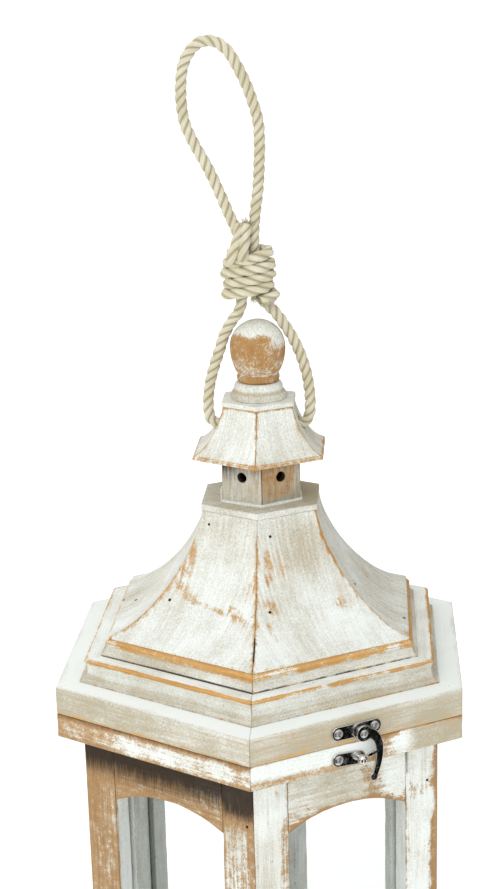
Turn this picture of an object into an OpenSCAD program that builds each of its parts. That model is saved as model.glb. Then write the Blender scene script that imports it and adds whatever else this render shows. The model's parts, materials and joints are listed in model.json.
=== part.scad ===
// Hexagonal wooden candle lantern: six arched windows, a hinged lid with a curved roof,
// a vented cap, a turned finial, a swing clasp and a knotted rope handle.
// Origin: centre of the underside. +Z is up. The clasp is on the -Y face, the hinges on +Y.
// Face 0 looks along -Y and the others follow anticlockwise, every 60 degrees.

/* [Base] */
// Corner-to-corner width of the plinth
plinth_w = 262; // [240:1:272]
// Height of the plinth
plinth_h = 14; // [11:1:24]
// Thickness of the floor board
floor_board_t = 17; // [12:1:22]

/* [Rails and lid board] */
// Corner-to-corner width of the floor board, the rails and the lid board
board_w = 280; // [278:1:288]
// Height of the base rail and of the top rail
rail_h = 15; // [15:1:20]
// Width of the rails, from the outside edge inwards
rail_w = 30; // [28:1:34]
// Thickness of the lid board
lid_board_t = 17; // [17:1:22]
// Width of the lid board's six mitred boards
lid_board_w = 46; // [42:1:56]

/* [Windows] */
// Corner-to-corner width of the glazed body
body_w = 247; // [244:0.5:250]
// Height of the corner posts
post_h = 287; // [200:1:400]
// Width of each stile
stile_w = 22; // [18:1:25]
// Thickness of the stiles, headers and sills
frame_t = 12.5; // [10:0.5:14]
// Height of an arched header at the middle of its arch
header_h = 31; // [24:1:40]
// Rise of the arch
arch_rise = 10; // [6:1:16]
// Height of a sill
sill_h = 30; // [20:1:45]
// Thickness of the glass
glass_t = 2; // [1.5:0.5:3]
// Thickness of the beads that hold the glass
bead_t = 6; // [4:0.5:8]

/* [Roof] */
// Height of the lower moulding on the lid board
lower_tier_h = 13.8; // [12:0.2:18]
// Height of the upper moulding
upper_tier_h = 9.7; // [8:0.1:14]
// Height of the curved roof, from the upper moulding to its flat top
roof_h = 75.2; // [70:0.2:90]
// Thickness of a roof panel
roof_t = 8; // [5:0.5:10]

/* [Cap and finial] */
// Corner-to-corner width of the vent drum
drum_w = 55; // [52:0.5:58]
// Height of the vent drum
drum_h = 28.3; // [24:0.1:40]
// Turn of the drum on the roof
drum_turn = 5; // [0:1:8]
// Radius of a vent hole
vent_r = 3.1; // [2:0.1:4]
// Height of the cap
cap_h = 33.5; // [32:0.1:36]
// Thickness of a cap panel
cap_t = 6; // [4:0.5:6]
// Radius of the finial's ball
ball_r = 16.8; // [14:0.1:16.8]

/* [Hardware] */
// Distance of a hinge from the middle of its face
hinge_x = 38; // [25:1:45]
// Length of a hinge along its pin
hinge_l = 28; // [22:1:36]
// Thickness of the metal plates
plate_t = 1.2; // [0.8:0.1:1.6]

/* [Rope] */
// Diameter of the rope
rope_d = 7; // [6:0.1:7]

/* [Hidden] */
$fn = 64;

// Colours
PAINT = "#e9e3d8";
PAINT_SHADE = "#d9d0c2";
BARE = "#c79a63";
RAIL_WOOD = "#cbb596";
GLASS = [0.85, 0.93, 0.92, 0.3];
NICKEL = "#b9b9b6";
ROPE = "#ddd3b6";

// Gaps
mitre_gap = 0.1;   // between two boards glued at a mitre
joint_gap = 0.15;  // between a header or sill and its stiles
lid_gap = 0.3;     // between the closed lid and the top rail
glass_gap = 0.2;   // on each side of the glass

// Distances from the axis to the middle of a face
board_a = board_w / 2 * cos(30);
body_a = body_w / 2 * cos(30);
frame_in_a = body_a - frame_t;
glass_out_a = frame_in_a - glass_gap;
bead_out_a = glass_out_a - glass_t - glass_gap;
plate_out_a = board_a + plate_t;

// Levels
z_floor_board = plinth_h;
z_base_rail = z_floor_board + floor_board_t;
z_posts = z_base_rail + rail_h;
z_top_rail = z_posts + post_h;
z_split = z_top_rail + rail_h;
z_lid = z_split + lid_board_t;
z_upper_tier = z_lid + lower_tier_h;
z_roof = z_upper_tier + upper_tier_h;
z_drum = z_roof + roof_h;
z_cap = z_drum + drum_h;
z_finial = z_cap + cap_h;

// Plinth
plinth_step = 5;   // height and depth of the step round its top edge

// Windows
window_w = body_w / 2 - 2 * stile_w;
arch_r = (pow(window_w / 2, 2) + pow(arch_rise, 2)) / (2 * arch_rise);
pane_w = window_w + 14;
bead_w = 9;
bead_lip = 2.5;    // how far a bead shows inside its window
bead_end_h = 11;   // height of the beads along a pane's top and bottom edges

// Mouldings: distance from the axis to the foot of each one's face
lower_tier_a = 107.8;
upper_tier_a = 95.2;
tier_w = 26;

// Roof and cap outlines: control points of a curve, [distance from the axis, height]
roof_curve = [[35.1, roof_h - 4], [37.1, roof_h - 26], [62.7, 9.8], [88, 2.5]];
roof_nose_a = 90.4;
top_plate_t = 4;
top_plate_a = 35.4;
top_plate_hole_r = 14;
cap_top_t = 3;
cap_curve = [[21.2, cap_h - cap_top_t], [21.3, cap_h - 9], [29.3, 5.6], [38.6, 2.4]];
cap_eave_a = 39.4;
cap_top_a = 21.8;
cap_deck_a = 25.5;
cap_deck_t = 4;
curve_steps = 20;
drum_wall = 5;
vent_h = 16.8;     // height of the vent holes above the roof's flat top
tenon_r = 5;

// Finial heights above the cap
base_h = 10.2;
ring_h = 5.6;
ring_r = 13.1;
ball_z = 31.5;
ball_lower_r = 2 * ball_r;

// Hinges, in the frame of their face
pin_r = 1.2;
pin_clearance = 0.05;
knuckle_r = 2.6;
knuckle_gap = 0.2;
pin_out = 3.1;     // the pin's distance from the face
leaf_top = 13.5;
leaf_foot = 3;
middle_knuckle_l = hinge_l / 3;
screw_r = 1.2;
screw_l = 9;
hinge_screw_x = hinge_l / 2 - 5;
hinge_screw_z = 8.5;
flush_head_r = 2.2;

// Clasp, in the frame of its face: [sideways, height above the lid board's top]
strap_left = [-14.3, -9.2];
strap_right = [9.6, -9.2];
strap_r = 4.2;
pivot = [0.8, -11.1];
pivot_r = 1.5;
lobe_r = 5.2;
keeper_left = [-14.2, -25.6];
stud = [-0.7, -26.7];
stud_r = 2.9;
stud_neck_r = 1.7;
pan_head_r = 2.9;
pan_head_t = 1.2;
hook_level = plate_t + pan_head_t + 0.3;
hook_t = 1.7;
boss_r = 4.8;
arm_curve = [pivot, [12.5, -10.5], [13.2, -27], [7.8, -38.5]];
arm_steps = 20;
tip = [7.2, -39.6];
tip_r = 2.3;
spur_root = [10.2, -23.6];
spur_tip = [4.0, -25.2];
spur_r = 1.1;

// Rope: the line through the two holes in the cap, and the route in the frame of that line,
// [along the line, across it, up]
hole_turn = -30;
hole_h = 17.1;     // height of the rope holes above the cap's eave
z_hole = z_cap + hole_h;
hole_r = 4.2;
stopper_in = 4.5;
stopper_out = 16;
stopper_r = 6;
rope_sides = 10;
rope_route = [
    [-16, 0, 0], [-24.5, 0, 0], [-28.5, 0, 1.5], [-30.5, 0, 5.5], [-31, 0, 13.5],
    [-29.5, 0, 25], [-26.5, 0, 36], [-23, 0, 46], [-20, 0, 55], [-15.5, 0, 63],
    [-10.5, 0, 70], [-8.6, 0, 78], [-8.2, 0, 87], [-8.2, 0, 99], [-8.5, 0, 111],
    [-11.5, 0, 120], [-15.5, 0, 129], [-21.5, 0, 144], [-27.5, 0, 157], [-34.5, 0, 170],
    [-39.5, 0, 182], [-41, 0, 193], [-41, 0, 203], [-39.5, 0, 214], [-35, 0, 223],
    [-28.5, 0, 228], [-20.5, 0, 228], [-13.5, 0, 223], [-8.5, 0, 215], [-4, 0, 206],
    [0.5, 0, 194], [3.5, 0, 182], [4, 0, 169], [3.5, 0, 156], [2.5, 0, 143],
    [1, 0, 132], [-0.3, 0, 121], [-0.8, 0, 111], [-0.8, 0, 99], [-0.8, 0, 88],
    [1, 0, 80], [5.5, 0, 74.5], [11, 0, 69], [17, 0, 60.5], [23, 0, 50],
    [27.5, 0, 38], [30.3, 0, 26], [31.3, 0, 14], [30.7, 0, 5.5], [28.5, 0, 1.5],
    [24.5, 0, 0], [16, 0, 0]
];
knot_low = 77;
knot_high = 112;
knot_strands = [-8.2, -0.8];
knot_r = 11;
knot_bore_r = rope_d / 2 + 0.4;

// A point on a cubic curve with control points p, at t from 0 to 1
function curve_point(p, t) =
    pow(1 - t, 3) * p[0] + 3 * pow(1 - t, 2) * t * p[1] + 3 * (1 - t) * t * t * p[2] + pow(t, 3) * p[3];

// The curve's direction there
function curve_direction(p, t) =
    let (d = pow(1 - t, 2) * (p[1] - p[0]) + 2 * (1 - t) * t * (p[2] - p[1]) + t * t * (p[3] - p[2]))
    d / norm(d);

// The curve moved to its right-hand side by w
function curve_beside(p, t, w) =
    let (d = curve_direction(p, t))
    curve_point(p, t) + w * [d[1], -d[0]];

// Turns face 0's frame to face k's
module on_face(k) rotate([0, 0, 60 * k]) children();

// Stands a 2D outline of [distance from the axis, height] on face 0, along X
module along_face(length) rotate([90, 0, -90]) linear_extrude(length, center = true) children();

// Stands children up against face 0, a distance out from the board's face: their Z points outwards
// and their X and Y are sideways and the height above the lid board's top
module on_clasp_face(out = 0) translate([0, -board_a - out, z_lid]) rotate([90, 0, 0]) children();

// The sixth of space in front of face 0, less half a gap at each mitre
module mitre_wedge(gap)
    linear_extrude(1600, center = true)
        polygon([[0, -gap], [-200 * tan(30), -200 - gap], [200 * tan(30), -200 - gap]]);

// Six mitred boards with the same outline
module mitred_ring(gap = mitre_gap)
    for (k = [0:5])
        on_face(k) intersection() {
            along_face(400) children();
            mitre_wedge(gap);
        }

// A block from one corner to another
module block(low, high) translate(low) cube(high - low);

// A bar of height h with round ends of radius r at a and b
module bar(a, b, r, h) {
    d = (b - a) / norm(b - a);
    s = r * [-d[1], d[0]];
    translate(a) cylinder(r = r, h = h);
    translate(b) cylinder(r = r, h = h);
    linear_extrude(h) polygon([a + s, b + s, b - s, a - s]);
}

// Holes for the hinges' screws, in face 0's frame, side 1 above the split and -1 below
module hinge_screw_places(side)
    for (h = [-1, 1], s = [-1, 1])
        translate([h * hinge_x + s * hinge_screw_x, -board_a, z_split + side * hinge_screw_z])
            rotate([90, 0, 0]) children();

// A round shank from depth behind the outside of a board to out in front of it
module shank(r, depth, out) translate([0, 0, -depth]) cylinder(r = r, h = depth + out);

// A place in the frame of the clasp's face
module latch_place(p) on_clasp_face() translate(p) children();

// ---- Base and body ----

module plinth() color(PAINT_SHADE) {
    cylinder(r = plinth_w / 2, h = plinth_h - plinth_step, $fn = 6);
    cylinder(r = plinth_w / 2 - plinth_step, h = plinth_h, $fn = 6);
}

module floor_board() color(RAIL_WOOD)
    translate([0, 0, z_floor_board]) cylinder(r = board_w / 2, h = floor_board_t, $fn = 6);

module base_rail() color(RAIL_WOOD)
    mitred_ring() translate([board_a - rail_w, z_base_rail]) square([rail_w, rail_h]);

module top_rail() color(RAIL_WOOD)
    difference() {
        mitred_ring() translate([board_a - rail_w, z_top_rail]) square([rail_w, rail_h - lid_gap]);
        on_face(3) hinge_screw_places(-1) shank(screw_r, screw_l + 1, 1);
        latch_place(keeper_left) shank(screw_r, screw_l + 1, 1);
    }

// Two stiles mitred together at the corner between face k - 1 and face k
module corner_post(k) color(k % 2 == 0 ? PAINT : PAINT_SHADE)
    for (s = [-1, 1])
        on_face(k - 1 + (s < 0 ? 1 : 0)) intersection() {
            block([s > 0 ? body_w / 4 - stile_w : -body_w / 4, -body_a, z_posts],
                  [s > 0 ? body_w / 4 : stile_w - body_w / 4, -frame_in_a, z_top_rail]);
            mitre_wedge(mitre_gap);
        }

module arched_header(k) color(PAINT)
    on_face(k - 1) difference() {
        block([joint_gap - window_w / 2, -body_a, z_top_rail - header_h - arch_rise],
              [window_w / 2 - joint_gap, -frame_in_a, z_top_rail]);
        translate([0, 1 - frame_in_a, z_top_rail - header_h - arch_r])
            rotate([90, 0, 0]) cylinder(r = arch_r, h = frame_t + 2, $fn = 128);
    }

module sills() color(PAINT)
    for (k = [0:5])
        on_face(k) block([joint_gap - window_w / 2, -body_a, z_posts],
                         [window_w / 2 - joint_gap, -frame_in_a, z_posts + sill_h]);

module glass_pane(k) color(GLASS)
    on_face(k - 1) block([-pane_w / 2, -glass_out_a, z_posts + 1],
                         [pane_w / 2, glass_t - glass_out_a, z_top_rail - 1]);

module glazing_beads() color(PAINT_SHADE)
    for (k = [0:5])
        on_face(k) {
            side = window_w / 2 - bead_lip;
            for (s = [-1, 1])
                block([s > 0 ? side : -side - bead_w, -bead_out_a, z_posts + 1],
                      [s > 0 ? side + bead_w : -side, bead_t - bead_out_a, z_top_rail - 1]);
            for (z = [z_posts + 1, z_top_rail - 1 - bead_end_h])
                block([joint_gap - side, -bead_out_a, z],
                      [side - joint_gap, bead_t - bead_out_a, z + bead_end_h]);
        }

// ---- Hinges ----

// One leaf with its knuckles, in face 0's frame; side 1 is the lid's, with the middle knuckle
module hinge_leaf(side) {
    own = side > 0 ? [0] : [-1, 1];
    knuckle_l = middle_knuckle_l - knuckle_gap;
    difference() {
        union() {
            block([-hinge_l / 2, -plate_out_a, side > 0 ? leaf_foot : -leaf_top],
                  [hinge_l / 2, -board_a, side > 0 ? leaf_top : -leaf_foot]);
            for (k = own)
                translate([k * middle_knuckle_l, 0, 0]) {
                    block([-knuckle_l / 2, -plate_out_a, side > 0 ? 1 : -leaf_foot - 1],
                          [knuckle_l / 2, -board_a - 0.4, side > 0 ? leaf_foot + 1 : -1]);
                    translate([0, -board_a - pin_out, 0]) rotate([0, 90, 0])
                        cylinder(r = knuckle_r, h = knuckle_l, center = true);
                }
        }
        translate([0, -board_a - pin_out, 0]) rotate([0, 90, 0])
            cylinder(r = pin_r + pin_clearance, h = hinge_l + 2, center = true);
        for (s = [-1, 1])
            translate([s * hinge_screw_x, -board_a, side * hinge_screw_z]) rotate([90, 0, 0])
                shank(flush_head_r, 1, plate_t + 1);
    }
}

module hinge_leaves(side)
    on_face(3) for (h = [-1, 1]) translate([h * hinge_x, 0, z_split]) hinge_leaf(side);

module hinge_screws(side)
    on_face(3) hinge_screw_places(side) {
        shank(screw_r, screw_l, 0.1);
        difference() {
            cylinder(r = flush_head_r, h = plate_t);
            translate([0, 0, plate_t - 0.4]) for (q = [0, 90]) rotate([0, 0, q])
                translate([-1.6, -0.3, 0]) cube([3.2, 0.6, 1]);
        }
    }

module hinge_body_leaves() color(NICKEL) hinge_leaves(-1);
module hinge_lid_leaves() color(NICKEL) hinge_leaves(1);
module hinge_body_screws() color(NICKEL) hinge_screws(-1);
module hinge_lid_screws() color(NICKEL) hinge_screws(1);

module hinge_pins() color(NICKEL)
    on_face(3) for (h = [-1, 1])
        translate([h * hinge_x, -board_a - pin_out, z_split]) rotate([0, 90, 0])
            cylinder(r = pin_r, h = hinge_l - knuckle_gap, center = true);

// ---- Lid ----

module lid_board() color(PAINT)
    difference() {
        mitred_ring() translate([board_a - lid_board_w, z_split]) square([lid_board_w, lid_board_t]);
        on_face(3) hinge_screw_places(1) shank(screw_r, screw_l + 1, 1);
        for (p = [strap_left, strap_right]) latch_place(p) shank(screw_r, screw_l + 1, 1);
        latch_place(pivot) shank(pivot_r, screw_l + 1, 1);
    }

// Outline of a moulding with a cove above its foot and a rounded top edge
module cove_outline(foot_a, h, edge_back, edge_drop) {
    cove_r = h * 0.5;
    difference() {
        polygon([[foot_a - tier_w, 0], [foot_a, 0], [foot_a, 0.8], [foot_a - 2.4, h - edge_drop],
                 [foot_a - 2.4 - edge_back, h], [foot_a - tier_w, h]]);
        translate([foot_a + 0.4, 0.8 + cove_r]) scale([0.72, 1]) circle(cove_r, $fn = 48);
    }
}

module lower_tier() color(PAINT)
    mitred_ring() translate([0, z_lid]) cove_outline(lower_tier_a, lower_tier_h, 1.6, 1.6);

module upper_tier() color(PAINT)
    mitred_ring() translate([0, z_upper_tier]) cove_outline(upper_tier_a, upper_tier_h, 2.4, 2.4);

// Outline of a curved board, t thick, under the curve p, with a small upright edge at its foot
module curved_outline(p, t, edge_a)
    intersection() {
        polygon(concat(
            [for (i = [0:curve_steps]) curve_point(p, i / curve_steps)],
            [[edge_a, p[3][1] - 1], [edge_a, 0]],
            [for (i = [curve_steps:-1:0]) curve_beside(p, i / curve_steps, t)]
        ));
        square([200, p[0][1]]);
    }

module roof_panel(k) color(PAINT)
    on_face(k - 1) intersection() {
        translate([0, 0, z_roof]) along_face(400) curved_outline(roof_curve, roof_t, roof_nose_a);
        mitre_wedge(mitre_gap);
    }

module roof_top_plate() color(PAINT)
    translate([0, 0, z_drum - top_plate_t]) difference() {
        cylinder(r = top_plate_a / cos(30), h = top_plate_t, $fn = 6);
        translate([0, 0, -1]) cylinder(r = top_plate_hole_r, h = top_plate_t + 2);
    }

module vent_drum() color(PAINT_SHADE)
    rotate([0, 0, drum_turn]) difference() {
        mitred_ring() translate([drum_w / 2 * cos(30) - drum_wall, z_drum]) square([drum_wall, drum_h]);
        for (k = [0:5])
            on_face(k) translate([0, -drum_w / 2 + drum_wall * 2, z_drum + vent_h])
                rotate([90, 0, 0]) cylinder(r = vent_r, h = drum_wall * 3);
    }

module cap_deck() color(PAINT_SHADE)
    translate([0, 0, z_cap]) cylinder(r = cap_deck_a / cos(30), h = cap_deck_t, $fn = 6);

module cap_panel(k) color(PAINT)
    on_face(k - 1) difference() {
        intersection() {
            translate([0, 0, z_cap]) along_face(400) curved_outline(cap_curve, cap_t, cap_eave_a);
            mitre_wedge(mitre_gap);
        }
        block([-40, -cap_deck_a - 0.1, z_cap - 1], [40, 0, z_cap + cap_deck_t + 0.1]);
        if (k % 3 == 2)
            translate([0, -10, z_hole]) rotate([90, 0, 0]) cylinder(r = hole_r, h = 40);
    }

module cap_top() color(PAINT)
    translate([0, 0, z_finial - cap_top_t]) difference() {
        cylinder(r = cap_top_a / cos(30), h = cap_top_t, $fn = 6);
        translate([0, 0, -1]) cylinder(r = tenon_r + 0.05, h = cap_top_t + 2);
    }

module finial_base() color(PAINT)
    translate([0, 0, z_finial]) rotate_extrude()
        polygon([[0, -cap_top_t], [tenon_r, -cap_top_t], [tenon_r, 0], [17.2, 0], [17.2, 1.8],
                 [16.6, 3.4], [15.9, 4.6], [15.2, 5.2], [14.9, 5.8], [14.9, 7.4], [14.5, 8.6],
                 [13.8, 9.6], [13, base_h], [0, base_h]]);

module finial_ball() color(BARE)
    translate([0, 0, z_finial]) rotate_extrude() {
        translate([0, ball_z]) intersection() {
            circle(ball_r);
            square(ball_r);
        }
        translate([0, ball_z]) intersection() {
            translate([ball_r - ball_lower_r, 0]) circle(ball_lower_r, $fn = 128);
            translate([0, base_h + ring_h / 2 - ball_z]) square([ball_r, ball_z - base_h - ring_h / 2]);
        }
        translate([0, base_h]) square([ring_r - ring_h / 2, ring_h]);
        translate([ring_r - ring_h / 2, base_h + ring_h / 2]) intersection() {
            circle(ring_h / 2);
            translate([0, -ring_h]) square([ring_h, 2 * ring_h]);
        }
    }

// ---- Clasp ----

module keeper_plate() color(NICKEL)
    on_clasp_face() difference() {
        union() {
            bar(keeper_left, stud, strap_r, plate_t);
            translate(stud) cylinder(r = stud_neck_r, h = plate_t + 3);
            translate([stud[0], stud[1], plate_t + 3.4]) sphere(stud_r);
        }
        translate(keeper_left) shank(screw_r, 1, 4);
    }

// A screw with a domed head that stands on a plate
module pan_screw() {
    shank(screw_r, screw_l, plate_t);
    translate([0, 0, plate_t]) difference() {
        intersection() {
            cylinder(r = pan_head_r, h = pan_head_t);
            translate([0, 0, pan_head_t - 4.5]) sphere(4.5);
        }
        for (q = [20, 110])
            rotate([0, 0, q]) translate([-1.7, -0.35, pan_head_t - 0.6]) cube([3.4, 0.7, 1]);
    }
}

module keeper_screw() color(NICKEL) latch_place(keeper_left) pan_screw();

module latch_screws() color(NICKEL)
    for (p = [strap_left, strap_right]) latch_place(p) pan_screw();

module latch_plate() color(NICKEL)
    on_clasp_face() difference() {
        union() {
            bar(strap_left, strap_right, strap_r, plate_t);
            translate(pivot) cylinder(r = lobe_r, h = plate_t);
        }
        for (p = [strap_left, strap_right]) translate(p) shank(screw_r, 1, 4);
        translate(pivot) shank(pivot_r, 1, 4);
    }

module latch_pivot() color(NICKEL)
    latch_place(pivot) {
        shank(pivot_r, screw_l, hook_level + hook_t + 0.6);
        translate([0, 0, plate_t]) cylinder(r = pivot_r + 1, h = hook_level - plate_t - 0.1);
        translate([0, 0, hook_level + hook_t + 0.1]) intersection() {
            cylinder(r = 2.5, h = 1.1);
            translate([0, 0, -2.5]) sphere(3.6);
        }
    }

// A point on one edge of the arm, which narrows from its boss to its tip
function arm_side(t, side) = curve_beside(arm_curve, t, side * (3.2 - 1.5 * t));

module latch_hook() color(NICKEL)
    on_clasp_face(hook_level) difference() {
        union() {
            translate(pivot) cylinder(r = boss_r, h = hook_t);
            linear_extrude(hook_t) polygon(concat(
                [for (i = [0:arm_steps]) arm_side(i / arm_steps, 1)],
                [for (i = [arm_steps:-1:0]) arm_side(i / arm_steps, -1)]
            ));
            translate(tip) cylinder(r = tip_r, h = hook_t);
            bar(spur_root, spur_tip, spur_r, hook_t);
        }
        translate(pivot) shank(pivot_r + pin_clearance, 1, 4);
    }

// ---- Rope ----

// Puts children in the frame of the line through the rope holes
module at_holes() translate([0, 0, z_hole]) rotate([0, 0, hole_turn]) children();

// The route's direction at point i
function route_direction(i) =
    let (last = len(rope_route) - 1, d = rope_route[min(i + 1, last)] - rope_route[max(i - 1, 0)])
    d / norm(d);

// Corner j of the tube's ring at point i
function ring_corner(i, j) =
    let (d = route_direction(i), a = 360 * j / rope_sides)
    rope_route[i] + rope_d / 2 * (cos(a) * [0, 1, 0] + sin(a) * cross(d, [0, 1, 0]));

module rope() color(ROPE)
    at_holes() polyhedron(
        points = [for (i = [0:len(rope_route) - 1], j = [0:rope_sides - 1]) ring_corner(i, j)],
        faces = concat(
            [[for (j = [0:rope_sides - 1]) j]],
            [for (i = [0:len(rope_route) - 2], j = [0:rope_sides - 1])
                let (a = i * rope_sides, b = a + rope_sides, n = (j + 1) % rope_sides)
                [a + j, b + j, b + n, a + n]],
            [[for (j = [rope_sides - 1:-1:0]) (len(rope_route) - 1) * rope_sides + j]]
        )
    );

// The wraps of the knot, around the rope's two strands
module rope_knot() color(ROPE)
    at_holes() translate([0, 0, knot_low]) difference() {
        bar([knot_strands[0], 0], [knot_strands[1], 0], knot_r, knot_high - knot_low);
        translate([0, 0, -1])
            bar([knot_strands[0], 0], [knot_strands[1], 0], knot_bore_r, knot_high - knot_low + 2);
    }

// The overhand knots inside the cap that stop the rope from pulling out
module rope_stoppers() color(ROPE)
    at_holes() for (s = [-1, 1])
        translate([s * (stopper_in + stopper_out) / 2, 0, 0]) rotate([0, 90, 0])
            cylinder(r = stopper_r, h = stopper_out - stopper_in, center = true);

plinth();
floor_board();
base_rail();
top_rail();
sills();
glazing_beads();
for (k = [1:6]) {
    corner_post(k);
    arched_header(k);
    glass_pane(k);
    roof_panel(k);
    cap_panel(k);
}
hinge_body_leaves();
hinge_pins();
hinge_body_screws();
keeper_plate();
keeper_screw();
lid_board();
lower_tier();
upper_tier();
roof_top_plate();
vent_drum();
cap_deck();
cap_top();
finial_base();
finial_ball();
hinge_lid_leaves();
hinge_lid_screws();
latch_plate();
latch_screws();
latch_pivot();
latch_hook();
rope();
rope_knot();
rope_stoppers();
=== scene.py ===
"""Candle lantern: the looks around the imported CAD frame. Metres, +Z up, the clasp's face looks along -Y."""

import json
import random
from math import atan2, cos, degrees, pi, radians, sin, sqrt

import bmesh
import bpy
import numpy as np
from mathutils import Matrix, Vector, noise
from mathutils.bvhtree import BVHTree
from mathutils.kdtree import KDTree


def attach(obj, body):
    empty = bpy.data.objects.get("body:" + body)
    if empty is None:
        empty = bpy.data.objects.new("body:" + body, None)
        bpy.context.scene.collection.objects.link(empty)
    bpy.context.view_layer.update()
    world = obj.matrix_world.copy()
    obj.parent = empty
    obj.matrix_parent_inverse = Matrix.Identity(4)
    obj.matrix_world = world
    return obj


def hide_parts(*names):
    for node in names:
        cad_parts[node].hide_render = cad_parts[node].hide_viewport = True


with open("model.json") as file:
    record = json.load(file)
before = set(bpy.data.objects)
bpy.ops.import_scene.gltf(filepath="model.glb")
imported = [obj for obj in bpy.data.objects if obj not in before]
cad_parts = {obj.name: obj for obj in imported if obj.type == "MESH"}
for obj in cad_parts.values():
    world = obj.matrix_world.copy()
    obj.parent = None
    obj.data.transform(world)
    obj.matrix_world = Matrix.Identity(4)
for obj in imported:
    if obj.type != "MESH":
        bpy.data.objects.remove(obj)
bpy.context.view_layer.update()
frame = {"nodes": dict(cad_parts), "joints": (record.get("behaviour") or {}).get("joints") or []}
nodes = frame["nodes"]

MM = 0.001
BODY = "lantern_body"
SIX = range(6)
HALF_SIDE = 1 / sqrt(3)    # half a face's width, as a share of its distance from the axis


# ---- Camera ----

CAMERA_PLACE = (-0.4366, -0.8982, 0.7813)
CAMERA_AZIMUTH, CAMERA_DOWN, CAMERA_ROLL = -26.71, 15.27, 1.2    # degrees, from level along +Y
CAMERA_LENS, CAMERA_SENSOR = 68.56, 36
CAMERA_SHIFT = (-0.0358, -0.0243)


def placed(name, data):
    """A new object in the scene."""
    made = bpy.data.objects.new(name, data)
    bpy.context.collection.objects.link(made)
    return made


def make_camera():
    """The camera: ahead on the left, a little above the roof."""
    data = bpy.data.cameras.new("camera")
    data.lens, data.sensor_width = CAMERA_LENS, CAMERA_SENSOR
    data.shift_x, data.shift_y = CAMERA_SHIFT
    data.clip_start, data.clip_end = 0.05, 500
    camera = placed("camera", data)
    turn = Matrix.Rotation(radians(CAMERA_AZIMUTH), 4, "Z")
    tilt = Matrix.Rotation(radians(90 - CAMERA_DOWN), 4, "X")
    roll = Matrix.Rotation(radians(-CAMERA_ROLL), 4, "Z")
    camera.matrix_world = Matrix.Translation(CAMERA_PLACE) @ turn @ tilt @ roll
    bpy.context.scene.camera = camera


# ---- Shader building ----

def linear(colour):
    """A "#rrggbb" colour as linear RGBA."""
    parts = [int(colour[i:i + 2], 16) / 255 for i in (1, 3, 5)]
    return [p / 12.92 if p <= 0.04045 else ((p + 0.055) / 1.055) ** 2.4 for p in parts] + [1.0]


class Shader:
    """A material's node tree."""

    def __init__(self, name, **surface):
        self.material = bpy.data.materials.new(name)
        self.material.use_nodes = True
        self.tree = self.material.node_tree
        self.surface = self.tree.nodes["Principled BSDF"]
        for socket, value in surface.items():
            self.surface.inputs[socket.replace("_", " ")].default_value = value

    def put(self, socket, value):
        if isinstance(value, bpy.types.NodeSocket):
            self.tree.links.new(value, socket)
        elif isinstance(value, str):
            socket.default_value = linear(value)
        elif value is not None:
            socket.default_value = value

    def node(self, kind, out=0, settings=(), **inputs):
        made = self.tree.nodes.new(kind)
        for key, value in dict(settings).items():
            setattr(made, key, value)
        for key, value in inputs.items():
            self.put(made.inputs[int(key[1:]) if key[0] == "_" else key], value)
        return made.outputs[out]

    def set(self, socket, value):
        self.put(self.surface.inputs[socket], value)

    def attribute(self, name, out="Fac"):
        return self.node("ShaderNodeAttribute", out, {"attribute_name": name})

    def place(self):
        """The point's place in the object, in metres."""
        return self.node("ShaderNodeTexCoord", 3)

    def math(self, operation, a, b=None):
        return self.node("ShaderNodeMath", 0, {"operation": operation}, _0=a, _1=b)

    def add(self, a, b):
        return self.math("ADD", a, b)

    def times(self, a, b):
        return self.math("MULTIPLY", a, b)

    def push(self, cloud, size, middle=0.5):
        """A noise as a push either way, of about that size."""
        return self.times(self.math("SUBTRACT", cloud, middle), size)

    def stretch(self, vector, scale):
        return self.node("ShaderNodeMapping", 0, (), Vector=vector, Scale=scale)

    def noise(self, vector, scale=1.0, detail=4.0, rough=0.55, distort=0.0):
        return self.node("ShaderNodeTexNoise", 0, (), Vector=vector, Scale=scale, Detail=detail,
                         Roughness=rough, Distortion=distort)

    def span(self, value, low, high, to_low=0.0, to_high=1.0):
        """A smooth step from to_low, where the value is low, to to_high, where it is high."""
        return self.node("ShaderNodeMapRange", 0, {"interpolation_type": "SMOOTHSTEP"}, _0=value,
                         _1=low, _2=high, _3=to_low, _4=to_high)

    def mix(self, share, a, b):
        return self.node("ShaderNodeMix", 2, {"data_type": "RGBA"}, _0=share, _6=a, _7=b)

    def blend(self, share, a, b):
        return self.node("ShaderNodeMix", 0, {"data_type": "FLOAT"}, _0=share, _2=a, _3=b)

    def bump(self, height, strength, distance):
        self.set("Normal", self.node("ShaderNodeBump", 0, (), Height=height, Strength=strength,
                                     Distance=distance))


# ---- Boards: CAD boards with worn arrises and a fine grid of points ----

ARRIS_ANGLE = radians(25)
FLAT_ANGLE = radians(0.6)
BEVEL, JOINT_BEVEL = 0.5 * MM, 0.25 * MM    # the joints of posts and headers are tight
FAR = 30.0    # millimetres from an arris, where there is none near


def face_of(x, y):
    """The lantern's face that a point is nearest to: 0 looks along -Y, and they go anticlockwise."""
    return round((degrees(atan2(y, x)) + 90) / 60) % 6


def turned(points, face):
    """Points of face 0's frame in the frame of another face."""
    angle = radians(60 * face)
    c, s = cos(angle), sin(angle)
    return points @ np.array([[c, s, 0], [-s, c, 0], [0, 0, 1]])


def solids_of(bm):
    """The separate solids of a mesh, as lists of vertices."""
    left, found = set(bm.verts), []
    while left:
        stack, group = [left.pop()], []
        while stack:
            vertex = stack.pop()
            group.append(vertex)
            for edge in vertex.link_edges:
                other = edge.other_vert(vertex)
                if other in left:
                    left.discard(other)
                    stack.append(other)
        found.append(group)
    return found


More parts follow.
